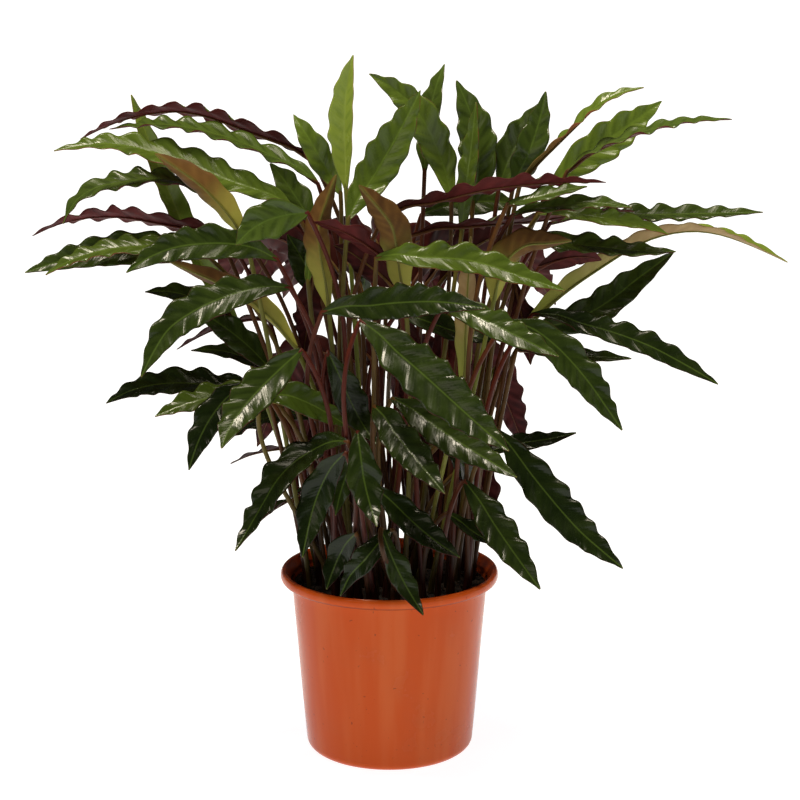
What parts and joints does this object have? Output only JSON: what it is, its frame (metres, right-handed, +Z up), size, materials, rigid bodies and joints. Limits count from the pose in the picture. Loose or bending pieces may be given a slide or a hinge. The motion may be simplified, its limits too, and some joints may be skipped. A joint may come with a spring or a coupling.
{
  "type": "potted calathea plant",
  "caption": "Bushy foliage plant with long waved leaves, dark green above and wine red beneath, on thin stalks in a round plastic nursery pot that stands on its flat base.",
  "frame": {"origin": "middle of the pot's flat base, on the surface it stands on", "axes": "+Z up, -Y the front, +X to the right of someone who looks at the front, which is the way the plant spreads widest"},
  "size_m": [0.717, 0.439, 0.6654],
  "materials": {
    "pot_plastic": "satin, injection moulded, terracotta colour",
    "soil": "matte, loose peat potting mix",
    "mature_leaf": "waxy gloss, dark green above, wine red beneath",
    "fresh_leaf": "waxy gloss, fresh green",
    "young_leaf": "satin, yellow green, half unrolled",
    "furled_leaf": "satin, brown olive outside of a rolled leaf"
  },
  "bodies": {
    "root": {"fresh_shoot_04": "fresh_leaf", "fresh_shoot_08": "fresh_leaf", "fresh_shoot_13": "fresh_leaf", "fresh_shoot_33": "fresh_leaf", "fresh_shoot_36": "fresh_leaf", "fresh_shoot_39": "fresh_leaf", "fresh_shoot_41": "fresh_leaf", "furled_shoot_05": "furled_leaf", "furled_shoot_10": "furled_leaf", "furled_shoot_44": "furled_leaf", "furled_shoot_46": "furled_leaf", "mature_shoot_02": "mature_leaf", "mature_shoot_03": "mature_leaf", "mature_shoot_06": "mature_leaf", "mature_shoot_07": "mature_leaf", "mature_shoot_09": "mature_leaf", "mature_shoot_11": "mature_leaf", "mature_shoot_12": "mature_leaf", "mature_shoot_14": "mature_leaf", "mature_shoot_15": "mature_leaf", "mature_shoot_16": "mature_leaf", "mature_shoot_17": "mature_leaf", "mature_shoot_18": "mature_leaf", "mature_shoot_19": "mature_leaf", "mature_shoot_20": "mature_leaf", "mature_shoot_21": "mature_leaf", "mature_shoot_22": "mature_leaf", "mature_shoot_23": "mature_leaf", "mature_shoot_24": "mature_leaf", "mature_shoot_25": "mature_leaf", "mature_shoot_26": "mature_leaf", "mature_shoot_27": "mature_leaf", "mature_shoot_28": "mature_leaf", "mature_shoot_29": "mature_leaf", "mature_shoot_30": "mature_leaf", "mature_shoot_32": "mature_leaf", "mature_shoot_34": "mature_leaf", "mature_shoot_35": "mature_leaf", "mature_shoot_37": "mature_leaf", "mature_shoot_38": "mature_leaf", "mature_shoot_40": "mature_leaf", "mature_shoot_43": "mature_leaf", "mature_shoot_45": "mature_leaf", "mature_shoot_47": "mature_leaf", "mature_shoot_48": "mature_leaf", "mature_shoot_49": "mature_leaf", "mature_shoot_50": "mature_leaf", "mature_shoot_51": "mature_leaf", "mature_shoot_52": "mature_leaf", "mature_shoot_53": "mature_leaf", "mature_shoot_54": "mature_leaf", "mature_shoot_55": "mature_leaf", "mature_shoot_56": "mature_leaf", "mature_shoot_57": "mature_leaf", "mature_shoot_58": "mature_leaf", "pot": "pot_plastic", "soil": "soil", "young_shoot_01": "young_leaf", "young_shoot_31": "young_leaf", "young_shoot_42": "young_leaf"}
  },
  "joints": []
}
